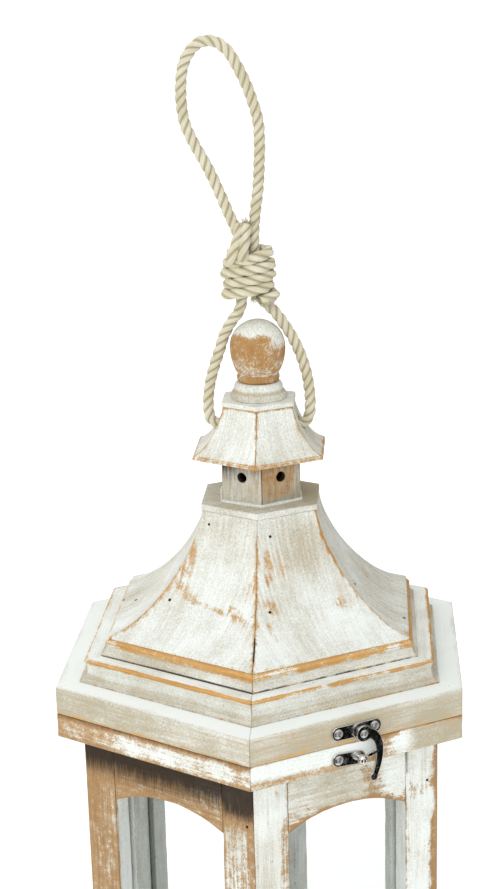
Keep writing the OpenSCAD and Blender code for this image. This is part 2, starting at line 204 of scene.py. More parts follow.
def bare_mesh(node, face=None):
    """A CAD node's mesh without its triangulation; with a face, only the solids there, turned to face 0."""
    bm = bmesh.new()
    bm.from_mesh(nodes[node].data)
    bmesh.ops.remove_doubles(bm, verts=bm.verts, dist=0.002 * MM)
    if face is not None:
        for group in solids_of(bm):
            middle = sum((v.co for v in group), Vector()) / len(group)
            if face_of(middle.x, middle.y) != face:
                bmesh.ops.delete(bm, geom=group, context="VERTS")
        bmesh.ops.rotate(bm, verts=bm.verts, matrix=Matrix.Rotation(radians(-60 * face), 3, "Z"))
    bmesh.ops.dissolve_limit(bm, angle_limit=FLAT_ANGLE, verts=bm.verts, edges=bm.edges)
    bmesh.ops.recalc_face_normals(bm, faces=bm.faces)
    return bm


def sharp_edges(bm):
    return [e for e in bm.edges if e.is_manifold and e.calc_face_angle_signed(0.0) > ARRIS_ANGLE]


def round_off(bm, edges, offset, segments):
    bmesh.ops.bevel(bm, geom=edges, offset=offset, segments=segments, profile=0.5, affect="EDGES",
                    clamp_overlap=True)


def on_mitre(vertex):
    """Whether a point of a board in face 0's frame is on a mitred end."""
    return abs(abs(vertex.co.x) + vertex.co.y * HALF_SIDE) < 0.4 * MM


def points_along(edges):
    """Points half a millimetre apart along edges, as a tree."""
    spots = []
    for a, b in edges:
        count = max(1, round((b - a).length / (0.5 * MM)))
        spots += [a.lerp(b, i / count) for i in range(count + 1)]
    tree = KDTree(len(spots))
    for i, spot in enumerate(spots):
        tree.insert(spot, i)
    tree.balance()
    return tree if spots else None


def distances(tree, points):
    """How far each point is from a tree's points, in millimetres."""
    if tree is None:
        return np.full(len(points), FAR)
    return np.array([min(FAR, tree.find(p)[2] / MM) for p in points])


def board(node, face=None, step=3.0, bevel=BEVEL):
    """One board in face 0's frame: its points, its faces, and each point's distance in millimetres
    from the nearest arris and from the nearest mitred edge."""
    bm = bare_mesh(node, face)
    sharp = sharp_edges(bm)
    mitres = [e for e in sharp if face is not None and on_mitre(e.verts[0]) and on_mitre(e.verts[1])]
    arrises = [e for e in sharp if e not in mitres]
    trees = [points_along([(e.verts[0].co.copy(), e.verts[1].co.copy()) for e in kind])
             for kind in (arrises, mitres)]
    round_off(bm, sharp, bevel, 2)
    for axis in range(3):
        values = [v.co[axis] for v in bm.verts]
        count = int((max(values) - min(values)) / (step * MM))
        normal = Vector([float(axis == k) for k in range(3)])
        for i in range(1, count):
            place = normal * (min(values) + (max(values) - min(values)) * i / count)
            bmesh.ops.bisect_plane(bm, geom=bm.verts[:] + bm.edges[:] + bm.faces[:], dist=0.01 * MM,
                                   plane_co=place, plane_no=normal)
    points = [v.co.copy() for v in bm.verts]
    bm.verts.index_update()
    made = {
        "points": np.array(points, float).reshape(-1, 3),
        "faces": [tuple(v.index for v in f.verts) for f in bm.faces],
        "edge": distances(trees[0], points),
        "seam": distances(trees[1], points),
    }
    bm.free()
    return made


def tube(first, rings, around, closed=False, capped=True):
    """The faces round rings of points, which begin at the point first, with that many in each."""
    faces = []
    for i in range(rings if closed else rings - 1):
        low, high = first + i * around, first + (i + 1) % rings * around
        faces += [(low + j, low + (j + 1) % around, high + (j + 1) % around, high + j)
                  for j in range(around)]
    if capped and not closed:
        last = first + (rings - 1) * around
        faces += [tuple(range(first + around - 1, first - 1, -1)), tuple(range(last, last + around))]
    return faces


def run(line):
    """How far along a line each of its points lies."""
    return np.concatenate([[0], np.cumsum(np.linalg.norm(np.diff(line, axis=0), axis=1))])


def resampled(line, step):
    """A line's points moved to even steps."""
    along = run(line)
    at = np.linspace(0, along[-1], max(4, round(along[-1] / step)))
    return np.stack([np.interp(at, along, values) for values in line.T], axis=1)


def new_object(name, points, faces, smooth=True):
    """A mesh object from points in metres."""
    mesh = bpy.data.meshes.new(name)
    mesh.from_pydata([tuple(p) for p in points], [], faces)
    mesh.update()
    mesh.polygons.foreach_set("use_smooth", [smooth] * len(mesh.polygons))
    return placed(name, mesh)


def give(mesh, name, values):
    """Stores a number or a vector for each point of a mesh, or one number for all of them."""
    values = np.asarray(values, np.float32)
    if values.ndim == 0:
        values = np.full(len(mesh.vertices), values)
    if values.ndim == 2:
        mesh.attributes.new(name, "FLOAT_VECTOR", "POINT").data.foreach_set("vector", values.ravel())
    else:
        mesh.attributes.new(name, "FLOAT", "POINT").data.foreach_set("value", values)


def wobble(points, size):
    """Smooth noise from -1 to 1 at each point, with features of about that size in metres."""
    return np.array([noise.noise(Vector(p) / size) for p in points])


def weighted_normals(piece):
    modifier = piece.modifiers.new("weighted normals", "WEIGHTED_NORMAL")
    modifier.weight = 60


SLOPE = 3    # the grain axis of a board that lies down a slope


def along_grain(local, axis):
    """Each point's place along the grain and across it."""
    if axis == SLOPE:
        return np.stack([0.7 * (local[:, 2] + local[:, 1]), local[:, 0], 0 * local[:, 0]], axis=1)
    return local[:, [axis, *[k for k in range(3) if k != axis]]]


def wooden_piece(node, parts, body, marks, material, slot="whitewashed_wood", rough=0.10):
    """Joins boards into one piece that stands for a CAD node.
    Each part is (board, face, grain axis: 0 sideways, 2 upright, or SLOPE)."""
    luck = random.Random(node)
    stack = {key: [] for key in ("points", "edge", "seam", "grain", "bare", "shade_and_dirt", "tone")}
    faces, count = [], 0
    for part, face, axis in parts:
        local = part["points"]
        faces += [tuple(i + count for i in f) for f in part["faces"]]
        count += len(local)
        offset = np.array([luck.uniform(0, 3) for _ in range(3)])
        marked = marks(face, local[:, 0] / MM, -local[:, 1] / MM, local[:, 2] / MM)
        stack["points"].append(turned(local, face))
        stack["edge"].append(part["edge"] + marked.get("hold", 0.0))
        stack["seam"].append(part["seam"])
        stack["grain"].append(along_grain(local, axis) + offset)
        for key in ("bare", "shade_and_dirt", "tone"):
            stack[key].append(np.zeros(len(local)) + marked.get(key, 0.0))
    stack = {key: np.concatenate(values) for key, values in stack.items()}
    piece = new_object(node + "_wood", stack.pop("points"), faces)
    weather(piece, stack["edge"], rough)
    for key, values in stack.items():
        give(piece.data, key, values)
    return finished(piece, material, body, slot, node)


def weather(piece, edge, rough):
    """Moves a board's surface a little, and rubs its arrises down unevenly. Sizes in millimetres."""
    mesh = piece.data
    points = np.array([v.co for v in mesh.vertices], float)
    normals = np.array([v.normal for v in mesh.vertices], float)
    rub = np.clip(1.2 - edge, 0, 1) * np.clip(0.25 + 1.1 * wobble(points, 7 * MM), 0, 1)
    move = rough * wobble(points, 16 * MM) + 0.4 * rough * wobble(points, 4 * MM) - 0.30 * rub
    points += normals * move[:, None] * MM
    mesh.vertices.foreach_set("co", points.astype(np.float32).ravel())
    mesh.update()
    weighted_normals(piece)


def finished(piece, material, body, slot, *replaced):
    """Gives a piece its material and body, and hides the CAD nodes it stands for. The slot is not used."""
    piece.data.materials.append(material)
    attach(piece, body)
    if replaced:
        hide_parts(*replaced)
    return piece


# ---- Materials ----

# The last colour is the dark brown of dirt and of painted shade.
PAINT, WASH, BARK, SHADE_AND_GRIME = "#ecf1ed", "#b5ab92", "#7a5028", "#2a2016"


def wood_material(name, cover=0.95, streak=0.5, tan="#c99f66", film="#d9c9aa", rub=0.8, soft=0.08,
                  chips=1.2):
    """Wood under a brushed whitewash. Points carry grain (metres along and across the board), edge and
    seam (millimetres from an arris and a mitre), and three marks: bare, a darkening for dirt and for
    painted shade, and tone, which greys the paint and in places paints shade."""
    s = Shader(name, Specular_IOR_Level=0.3)
    grain = s.attribute("grain", "Vector")
    edge, seam, bare, shade_and_dirt, tone = (s.attribute(a) for a in ("edge", "seam", "bare", "shade_and_dirt", "tone"))
    fibre = s.noise(s.stretch(grain, (35, 900, 900)), 1, 5, 0.62)
    figure = s.noise(s.stretch(grain, (9, 150, 150)), 1, 3, 0.5, 0.6)
    brush = s.noise(s.stretch(grain, (30, 560, 560)), 1, 6, 0.7)
    upright = s.noise(s.stretch(s.place(), (900, 900, 75)), 1, 5, 0.65)
    patch, blotch = s.noise(grain, 60, 5, 0.65), s.noise(grain, 24, 3, 0.6)
    fleck, chip = s.noise(grain, 1200, 4, 0.75), s.noise(grain, 240, 6, 0.72)

    lift = s.push(brush, 3.2 * streak)
    for cloud, size in ((patch, 0.9), (chip, chips), (fleck, 2.2)):
        lift = s.add(lift, s.push(cloud, size))
    worn = s.times(s.span(s.add(edge, s.push(chip, 3.5)), 0.1, rub, 1, 0),
                   s.span(patch, 0.40, 0.56, 0.2, 0.75))
    split = s.times(s.span(s.add(seam, chip), 0.6, 1.0, 1, 0), 0.5)
    loss = s.add(s.math("MAXIMUM", worn, split), bare)
    amount = s.math("SUBTRACT", s.add(lift, cover), loss)
    coat = s.span(amount, 0.38 - soft, 0.38 + soft)

    depth = s.add(s.times(fibre, 0.55), s.times(figure, 0.45))
    timber = s.mix(s.span(depth, 0.34, 0.60), s.mix(0.35, tan, BARK), tan)
    timber = s.mix(s.span(amount, -0.2, 0.36, 0.0, 0.6), timber, film)
    thin = s.add(s.times(s.span(brush, 0.38, 0.62, 1, 0), 0.22), tone)
    for cloud, size, middle in ((fleck, 2.2, 0.5), (patch, 0.6, 0.47), (blotch, 1.3, 0.47)):
        thin = s.add(thin, s.push(cloud, size, middle))
    white = s.mix(s.math("MINIMUM", s.math("MAXIMUM", thin, 0.0), 1.3), PAINT, WASH)
    # Mixes towards the dark brown where the darkening mark is high, for dirt and for painted shade, with
    # upright streaks.
    shade_and_grime = s.span(s.add(shade_and_dirt, s.times(upright, 0.9)), 0.6, 1.35, 0.0, 0.94)
    s.set("Base Color", s.mix(shade_and_grime, s.mix(coat, timber, white), SHADE_AND_GRIME))
    s.set("Roughness", s.blend(coat, s.span(fibre, 0.3, 0.7, 0.62, 0.5),
                               s.span(brush, 0.3, 0.7, 0.7, 0.85)))
    height = s.add(s.times(coat, 0.8), s.times(brush, 0.4))
    height = s.add(s.add(height, s.times(fibre, 0.3)), s.times(fleck, 0.25))
    s.bump(height, 0.35, 0.25 * MM)
    return s.material


def nickel_material(name, rough=0.10, base=(0.74, 0.73, 0.71, 1)):
    """Polished nickel plate with fine scuffs."""
    s = Shader(name, Metallic=1.0)
    haze = s.noise(s.place(), 260, 4, 0.6)
    scuff = s.noise(s.stretch(s.place(), (900, 200, 5200)), 1, 3, 0.6)
    s.set("Base Color", s.mix(s.span(haze, 0.35, 0.7, 0.0, 0.35), list(base), (0.55, 0.53, 0.50, 1)))
    s.set("Roughness", s.span(s.add(haze, s.times(scuff, 0.35)), 0.5, 0.95, rough, rough + 0.2))
    s.bump(scuff, 0.06, 0.1 * MM)
    return s.material


def glass_material():
    """Clear window glass, with a faint film of dust."""
    s = Shader("glass", Transmission_Weight=1.0, IOR=1.3, Base_Color=(0.985, 0.995, 0.99, 1))
    s.set("Roughness", s.span(s.noise(s.place(), 24, 4, 0.6), 0.5, 0.9, 0.0, 0.02))
    s.bump(s.noise(s.place(), 14, 2, 0.5), 0.02, 1 * MM)
    return s.material


def rope_material():
    """Natural cotton. Points carry yarn (turns of the strand's own twist) and hollow (0 at the crest
    of a strand, 1 down between two)."""
    s = Shader("cotton_rope", Sheen_Weight=0.25)
    yarn, hollow = s.attribute("yarn"), s.attribute("hollow")
    fuzz, shade = s.noise(s.place(), 2600, 3, 0.65), s.noise(s.place(), 90, 3, 0.6)
    wave = s.add(s.times(s.math("SINE", s.times(yarn, 2 * pi)), 0.5), 0.5)
    base = s.mix(s.span(shade, 0.3, 0.7), "#e2ddc9", "#cdc5a7")
    grey = s.add(s.times(wave, 0.35), s.times(fuzz, 0.75))
    base = s.mix(s.span(grey, 0.25, 0.7, 0.35, 0.0), base, "#b5a982")
    # Darker down between the strands: painted shade in the hollows.
    s.set("Base Color", s.mix(s.span(hollow, 0.06, 0.5, 0.0, 0.72), base, "#8f845c"))
    s.set("Roughness", s.span(fuzz, 0.3, 0.7, 0.8, 0.95))
    s.bump(s.add(s.times(wave, 0.7), s.times(fuzz, 0.8)), 0.5, 0.25 * MM)
    return s.material


def iron_material():
    """Dark iron of the brad heads and the insides of nail holes."""
    s = Shader("brad_iron", Metallic=0.6)
    rust = s.noise(s.place(), 1500, 4, 0.6)
    s.set("Base Color", s.mix(s.span(rust, 0.4, 0.65), "#1a1512", "#3d2c20"))
    s.set("Roughness", s.span(rust, 0.3, 0.7, 0.5, 0.8))
    s.bump(rust, 0.3, 0.1 * MM)
    return s.material


# ---- Rope ----

ROPE_D = 7 * MM
ROPE_PITCH, ROPE_STEP = 18 * MM, 1.2 * MM
ROPE_ROUTE = [
    (-16, 0), (-24.5, 0), (-28.5, 1.5), (-30.5, 5.5), (-31, 13.5), (-29.5, 25), (-26.5, 36), (-23, 46),
    (-20, 55), (-15.5, 63), (-10.5, 70), (-8.6, 78), (-8.2, 87), (-8.2, 99), (-8.5, 111), (-11.5, 120),
    (-15.5, 129), (-21.5, 144), (-27.5, 157), (-34.5, 170), (-39.5, 182), (-41, 193), (-41, 203),
    (-39.5, 214), (-35, 223), (-28.5, 228), (-20.5, 228), (-13.5, 223), (-8.5, 215), (-4, 206),
    (0.5, 194), (3.5, 182), (4, 169), (3.5, 156), (2.5, 143), (1, 132), (-0.3, 121), (-0.8, 111),
    (-0.8, 99), (-0.8, 88), (1, 80), (5.5, 74.5), (11, 69), (17, 60.5), (23, 50), (27.5, 38),
    (30.3, 26), (31.3, 14), (30.7, 5.5), (28.5, 1.5), (24.5, 0), (16, 0),
]    # millimetres along the line of the rope holes, and up
rope_joint = next(j for j in frame["joints"] if j["name"] == "rope_swing")
HOLES = Vector(rope_joint["pos_m"])
ALONG = Vector(rope_joint["axis"]).normalized()
ACROSS = Vector((0, 0, 1)).cross(ALONG)


def from_holes(along, across, up):
    """A point given in millimetres in the frame of the line through the rope holes."""
    return HOLES + (ALONG * along + ACROSS * across + Vector((0, 0, up))) * MM


def smooth_line(points, step):
    """A smooth curve through points, resampled at even steps."""
    p = [Vector(q) for q in points]
    p = [2 * p[0] - p[1], *p, 2 * p[-1] - p[-2]]
    fine = []
    for i in range(1, len(p) - 2):
        a, b, c, d = p[i - 1:i + 3]
        for t in np.linspace(0, 1, 12, endpoint=False):
            fine.append(0.5 * (2 * b + (c - a) * t + (2 * a - 5 * b + 4 * c - d) * t * t
                               + (3 * b - a - 3 * c + d) * t ** 3))
    return resampled(np.array(fine + [p[-2]], float), step)


def frames_along(line):
    """Two directions across a line at each point, which turn as little as they can."""
    ahead = np.gradient(line, axis=0)
    ahead /= np.linalg.norm(ahead, axis=1)[:, None]
    side = np.cross(ahead[0], [0.3, 0.5, 0.81])
    sides = []
    for t in ahead:
        side = side - (side @ t) * t
        side /= np.linalg.norm(side)
        sides.append(side)
    sides = np.array(sides)
    return sides, np.cross(ahead, sides)


def strands(line, diameter, pitch, start, corners=16):
    """The surface of a three-strand rope along a line: points, faces, yarn and hollow."""
    along = run(line)
    one, two = frames_along(line)
    offset, strand = 0.18 * diameter, 0.33 * diameter
    points, faces, yarn, hollow = [], [], [], []
    for k in range(3):
        lay = 2 * pi * along / pitch + 2 * pi * k / 3 + start
        out = one * np.cos(lay)[:, None] + two * np.sin(lay)[:, None]
        over = -one * np.sin(lay)[:, None] + two * np.cos(lay)[:, None]
        first = len(points)
        for i, centre in enumerate(line):
            swell = 1 + 0.05 * noise.noise(Vector((along[i] * 160, k * 7.3, start)))
            for j in range(corners):
                angle = pi + 2 * pi * j / corners
                lobe = out[i] * cos(angle) + over[i] * sin(angle)
                points.append(centre + out[i] * offset + lobe * strand * swell)
                yarn.append(6 * j / corners + along[i] / (0.42 * pitch))
                hollow.append(0.5 - 0.5 * cos(angle))
        faces += tube(first, len(line), corners)
    return points, faces, yarn, hollow


def handle_part(name, points, faces, yarn, hollow, material, *replaced):
    """A piece of the handle."""
    piece = new_object(name, points, faces)
    give(piece.data, "yarn", yarn)
    give(piece.data, "hollow", hollow)
    return finished(piece, material, "rope_handle", "cotton_rope", *replaced)


def rope_piece(name, lines, material, *replaced, diameter=ROPE_D, pitch=ROPE_PITCH):
    """Rope along one or more lines."""
    points, faces, yarn, hollow = [], [], [], []
    for i, route in enumerate(lines):
        more = strands(smooth_line(route, ROPE_STEP), diameter, pitch, 1.7 * i)
        faces += [tuple(v + len(points) for v in f) for f in more[1]]
        points, yarn, hollow = points + more[0], yarn + more[2], hollow + more[3]
    return handle_part(name, points, faces, yarn, hollow, material, *replaced)


KNOT_TURNS = 4.6
KNOT_LOW, KNOT_HIGH = 77.5, 106.0
KNOT_PITCH = 24 * MM    # the wraps are laid slack, so their twist is long
KNOT_MIDDLE, KNOT_WIDE, KNOT_DEEP = -4.3, 13.0, 7.6
OVER = [(-13, -3, 100), (-13.4, -8.2, 102.5), (-12.4, -10.2, 107), (-10.2, -8.0, 112), (-9, -4.0, 117),
        (-9.5, 0, 121)]
TUCK = [(-7, -5, 101), (-7.0, -9.6, 104), (-6.2, -9.4, 109), (-5.6, -6.8, 113.5), (-5.2, -4.4, 118),
        (-4.6, -3.4, 123)]


def knot_wraps():
    """The wraps of the knot round the rope's two strands, from its frayed end at the lower right."""
    route = []
    steps = round(KNOT_TURNS * 14)
    for i in range(steps + 1):
        t = i / steps
        angle = -0.35 * pi + 2 * pi * KNOT_TURNS * t
        first = max(0, 0.25 - t) * 4
        wide = KNOT_WIDE + 0.9 * cos(2 * pi * KNOT_TURNS * t * 0.37) + 1.6 * first
        lean = (1.2 + 5.0 * max(0, t - 0.72)) * cos(angle)
        lean -= 1.2 * max(0, -sin(angle)) * first
        route.append(from_holes(KNOT_MIDDLE + wide * cos(angle), KNOT_DEEP * sin(angle),
                                KNOT_LOW + (KNOT_HIGH - KNOT_LOW) * t + lean))
    return route


def overhand(side):
    """The overhand knot that stops one end of the rope inside the cap."""
    route = []
    for a in np.linspace(0, 2 * pi, 20):
        along = side * (10.2 + 3.6 * sin(2 * a) * 0.8)
        route.append(from_holes(along, 2.7 * (cos(a) + 0.5 * cos(2 * a)),
                                2.7 * (sin(a) - 0.5 * sin(2 * a))))
    return route


# place, direction and number of the loose fibres
FRAYS = [((5.0, -6.5, 77.5), (1.5, -0.5, -0.9), 90), ((-1.0, -4.0, 78.8), (0.2, -0.3, -0.8), 40),
         ((-4.6, -3.4, 122.6), (0.1, -0.2, 0.8), 60)]


def frayed_ends(material):
    """Loose fibres where the rope's ends come out of the knot."""
    luck = random.Random("fray")
    points, faces, yarn = [], [], []

    def near(place, *spread):
        return np.array([luck.gauss(p, s) for p, s in zip(place, spread)])

    for place, way, count in FRAYS:
        for _ in range(count):
            at, ahead = near(place, 1.6, 1.0, 0.8), near(way, 0.55, 0.4, 0.35)
            bend = near((0, 0, -0.1), 0.35, 0.25, 0.25)
            long, fat = luck.uniform(1.4, 3.4), luck.uniform(0.3, 0.5)
            first = len(points)
            for i in range(5):
                t = i / 4
                centre = at + ahead * long * t + bend * long * t * t
                for j in range(3):
                    turn = 2.1 * j
                    thin = fat * (1 - 0.75 * t)
                    points.append(from_holes(*(centre + [thin * cos(turn), thin * sin(turn), 0])))
                    yarn.append(t)
            faces += tube(first, 5, 3)
    return handle_part("handle_fray", points, faces, yarn, 0.05, material)


def make_rope():
    """The rope, its knot, its frayed ends and the overhand knots inside the cap."""
    material = rope_material()
    route = [from_holes(along, 0, up) for along, up in ROPE_ROUTE]
    rope = rope_piece("handle_rope", [route], material, "rope")
    crossed = [[from_holes(*p) for p in points] for points in (OVER, TUCK)]
    knot = rope_piece("handle_knot", [knot_wraps(), *crossed], material, "rope_knot", pitch=KNOT_PITCH)
    stoppers = rope_piece("handle_stoppers", [overhand(-1), overhand(1)], material, "rope_stoppers",
                          diameter=4.6 * MM)
    fray = frayed_ends(material)


# ---- Marks: where the paint is worn, dirty or grey, and where shade is painted ----
# Each function takes a face, and points in that face's frame in millimetres: u sideways, out from
# the axis, and z up. bare takes paint away, the darkening mark stands for dirt and also for painted
# shade under overhangs, in hollows and at the feet of parts, tone turns the paint grey-beige and in
# places paints shade, and hold keeps the paint on the arrises. Face 0 has the clasp, and face 5 is the
# one on its left.

def spot(u, z, at_u, at_z, wide, high, turn=0.0):
    """1 in the middle of an oval mark and falling to 0 round it."""
    c, s = cos(radians(turn)), sin(radians(turn))
    x = ((u - at_u) * c + (z - at_z) * s) / wide
    y = ((z - at_z) * c - (u - at_u) * s) / high
    return np.exp(-(x * x + y * y))


def spots(u, z, *marks):
    """Oval marks added up: (strength, u, z, wide, high, and the degrees it is turned)."""
    return sum(strength * spot(u, z, *mark) for strength, *mark in marks)


def ramp(value, low, high):
    """0 below low, 1 above high, or the other way round."""
    return np.clip((value - low) / (high - low), 0, 1)


def between(value, low, high, soft=1.0):
    """1 from low to high, falling to 0 on both sides."""
    return ramp(value, low - soft, low) * ramp(value, high + soft, high)


def wander(along, size, seed):
    """Smooth noise from -1 to 1 along a line, with features of about that size in millimetres."""
    return np.array([noise.noise(Vector((a / size, 3.7 * seed, 0.5))) for a in along])


def plain(face, u, out, z):
    """No marks of its own."""
    return {}


def roof_marks(face, u, out, z):
    """Worn ridges and brushed patches; on the two front panels they have places of their own."""
    left, right = u + out * HALF_SIDE, out * HALF_SIDE - u
    ridge = ramp(z, 453, 446)
    gap = 1.5 * between(z, 393, 400.5)
    if face == 5:
        bare = spots(u, z, (1.0, -21.4, 434, 3.0, 9, 10), (0.6, -24, 421, 4, 7),
                     (0.62, -17, 413.5, 12, 3.4, -12), (0.8, 4, 409.3, 16, 1.0, -5),
                     (0.9, 17, 411.5, 2.4, 1.3), (0.62, 27, 406.5, 9, 3.4, -8), (0.55, 25, 421, 4, 7))
        bare += 0.65 * between(left, -1, 1.4) * ramp(z, 440, 425)
        bare += 0.35 * between(left, 1, 5) * ramp(z, 418, 408) + 0.85 * ridge * between(right, -1, 0.8)
        return {"bare": bare, "tone": 0.05 + 0.35 * ramp(z, 425, 455),
                "shade_and_dirt": gap * between(right, -1, 0.4, 0.3)}
    if face == 0:
        bare = spots(u, z, (0.95, -17.6, 436, 1.9, 8), (0.95, -20.6, 427, 2.0, 6), (0.48, -11, 432, 5, 9),
                     (0.34, 4, 438, 14, 15), (0.72, -23, 413, 7, 4.5, -35), (0.6, -29, 404, 3, 4),
                     (0.5, 22, 408, 13, 2.6, 3), (0.42, 23, 415, 6, 8), (0.45, -21, 398, 10, 1.1))
        bare += 0.7 * ridge * between(left, -1, 0.7)
        bare += 0.9 * between(right, -1, 1.1) * ramp(z, 418, 430) + 0.55 * between(right, -1, 0.8)
        return {"bare": bare, "tone": 0.08 + 0.6 * spot(u, z, 6, 446, 20, 17),
                "shade_and_dirt": gap * between(left, -1, 0.4, 0.3)}
    tilt = sin(face * 2.3)
    bare = spots(u, z, (0.55, -20 * tilt, 432, 5, 12), (0.5, 18 * tilt, 407, 16, 2.5, 12 * tilt),
                 (0.85 if face == 1 else 0.0, -47, 390.5, 4, 2.2))
    bare += 0.7 * between(left, -1, 1.0) * ramp(z, 395, 405) * (0.5 + 0.5 * wander(z, 9, face))
    # The greyer tone of the side and back panels, varied from panel to panel, is painted shade.
    return {"bare": bare, "tone": 0.22 + 0.12 * tilt}


def top_plate_marks(face, u, out, z):
    """The whole plate is in one frame: smooth white edges round a greyish top, darker far right as painted
    shade.
    """
    top = ramp(z, 463.0, 463.6)
    tan = 0.6 * top * between(out, 34.2, 36, 0.4) * ramp(u, 2, 14)
    return {"tone": 0.3 + top * (0.3 + 0.5 * ramp(u, 12, 30)), "hold": 4.0, "bare": tan - 0.1}


def drum_marks(face, u, out, z):
    # Painted shade: darker towards the top under the cap, and dark inside the vent hole.
    under = 0.5 * ramp(z, 484, 492)
    inside = 1.6 * ramp(np.hypot(u, out), 23.3, 22.8)
    if face == 0:
        bare = 0.85 * ramp(z, 463, 470) * ramp(u, 15, 10) - 0.25 * ramp(z, 468, 464)
        bare = bare - 0.5 * ramp(u, 4, 12) * ramp(z, 476, 468)
        return {"bare": bare, "tone": 0.6, "shade_and_dirt": 0.34 + 0.8 * under + inside}
    if face == 5:
        bare = 0.30 * ramp(z, 466, 472) + 0.3 * spot(u, z, 11, 482, 4, 9)
        # Painted shade from the cap on this face, stronger towards its left.
        shade = ramp(z, 468, 488) * (0.25 + 0.35 * ramp(u, 4, -10))
        return {"tone": 0.5, "bare": bare, "shade_and_dirt": 0.15 + shade + 0.8 * under + inside}
    return {"tone": 0.6, "bare": 0.3 * (1 + sin(face * 3.1)), "shade_and_dirt": 0.1 + under + inside}


def cap_marks(face, u, out, z):
    left, right = u + out * HALF_SIDE, out * HALF_SIDE - u
    low, top = ramp(z, 495.2, 494.5), ramp(z, 520.6, 521.8)
    bare = 0.8 * top + (0.5 + 0.35 * wander(u, 7, face)) * low
    bare += 0.5 * between(right, -1, 0.5, 0.6) + 0.4 * between(left, -1, 0.5, 0.6)
    if face == 5:
        bare += 0.45 * spot(u, z, -16, 497.5, 9, 3, -8) + 0.5 * spot(u, z, -11, 518, 3, 4)
        bare += 0.35 * between(right, -1, 1.6) * ramp(z, 502, 512)
        return {"bare": bare, "tone": 0.15}
    if face == 0:
        bare += 0.5 * spot(u, z, 14, 510, 3, 6) + 0.35 * between(left, -1, 1.2) * ramp(z, 500, 514)
        return {"bare": bare, "tone": 0.18}
    # The greyer tone of the side and back panels is painted shade.
    return {"bare": bare + 0.4 * spot(u, z, 8 * sin(face), 499, 9, 4), "tone": 0.35}


def cap_top_marks(face, u, out, z):
    return {"tone": 0.1 * ramp(z, 525, 525.4), "bare": -0.1, "hold": 4.0}


def upper_tier_marks(face, u, out, z):
    """A broad broken band of bare wood on the arris, painted shade in the cove, and a dark line at the foot
    painted as shade in the gap.
    """
    arris = between(out + 0.9 * wander(u, 5, face), 89.9, 94.2, 0.7)
    arris = arris * ramp(z, 383.4 + 0.5 * wander(u, 3, face), 384.4)
    wide = {5: 0.95 - 0.35 * ramp(u, -38, -50), 0: 0.62 + 0.33 * ramp(u, -44, -16), 1: 0.95}
    wide = wide.get(face, 0.55)
    if face == 0:
        wide = wide - 0.8 * spot(u, z, 39, 387, 6, 9)
    # Painted shade: the cove is greyed, and the foot darkened where the tier meets the one below; crack sets
    # how dark on each face.
    cove = between(z, 379.6, 385.0, 0.6) * ramp(out, 89.5, 91.5)
    foot = ramp(z, 380.0, 379.3) * ramp(out, 93, 94.5)
    crack = {5: 0.9 + 0.7 * ramp(u, -30, -10), 0: 0.7 + 1.1 * wander(u, 4, 9)}.get(face, 0.5)
    bare = arris * (wide + 0.35 * wander(u, 9, face + 20)) - 0.2 * ramp(out, 89.6, 88.5)
    return {"bare": bare, "tone": 0.42 * cove, "shade_and_dirt": foot * crack}


def lower_tier_marks(face, u, out, z):
    """A narrow broken line on the arris over painted shade in the cove, and a foot darkened as painted shade.
    """
    arris = between(out + 0.7 * wander(u, 6, face + 5), 103.4, 106, 0.7) * ramp(z, 375.6, 376.4)
    # Painted shade: the cove is greyed, and the foot darkened where the tier meets the lid board.
    cove = between(z, 366.0, 375.5, 0.8) * ramp(out, 102.5, 104.5)
    foot = ramp(z, 366.2, 365.4) * ramp(out, 106, 107)
    strong = {5: 0.85, 0: 0.6, 1: 0.7}.get(face, 0.5)
    bare = arris * (strong + 0.5 * wander(u, 11, face + 30)) - 0.2 * ramp(out, 102.9, 101.5)
    return {"bare": bare, "tone": 0.6 * cove, "shade_and_dirt": 0.55 * foot}


def lid_board_marks(face, u, out, z):
    """A white top and beige sides, with a worn line at the foot."""
    top, side = ramp(z, 364.2, 364.9), ramp(out, 120.2, 121.0)
    tone = {5: 0.66, 0: 0.72}.get(face, 0.55)
    worn = {5: 0.07, 0: 0.2 + 0.12 * ramp(u, 10, -40)}.get(face, 0.12)
    low = (0.5 if face == 5 else 0.4) * ramp(z, 350, 348.6)
    return {"bare": side * (worn + low) - 0.2 * top, "tone": side * tone - 0.4 * top, "hold": 2.0 * top}


def rail_marks(face, u, out, z):
    """The top rail: crackled white chips on one face, a broad white patch on the next."""
    side = ramp(out, 120.2, 121.0)
    edges = 0.6 * ramp(z, 345.2, 346.6) + 0.35 * ramp(z, 335.5, 334)
    if face == 5:
        bare = 0.62 + 0.25 * ramp(u, -18, -44) + 0.3 * wander(u, 7, 2)
        bare -= spots(u, z, (0.42, 2, 341, 26, 5), (0.2, 50, 340, 12, 6))
        # Darkened along its top edge, under the lid board: painted shade.
        return {"bare": side * (bare + edges), "shade_and_dirt": 0.5 * ramp(z, 346.3, 347.3)}
    if face == 0:
        patch = ramp(u, 16, 8) * ramp(z, 338.2, 340 + 0.02 * u) + spot(u, z, 30, 342, 6, 7)
        cream = ramp(u, 30, 38)
        bare = 0.75 - 0.5 * cream - 1.05 * np.clip(patch, 0, 1) + 0.12 * wander(u, 12, 3) * patch
        return {"bare": side * (bare + 0.5 * ramp(z, 346, 347)), "tone": 0.75 * cream - 0.15 * patch,
                "hold": 2.0 * patch}
    bare = 0.6 + edges - 0.5 * spot(u, z, 30 * sin(face * 1.9), 341, 34, 7)
    return {"bare": side * (bare + 0.3 * wander(u, 9, face))}


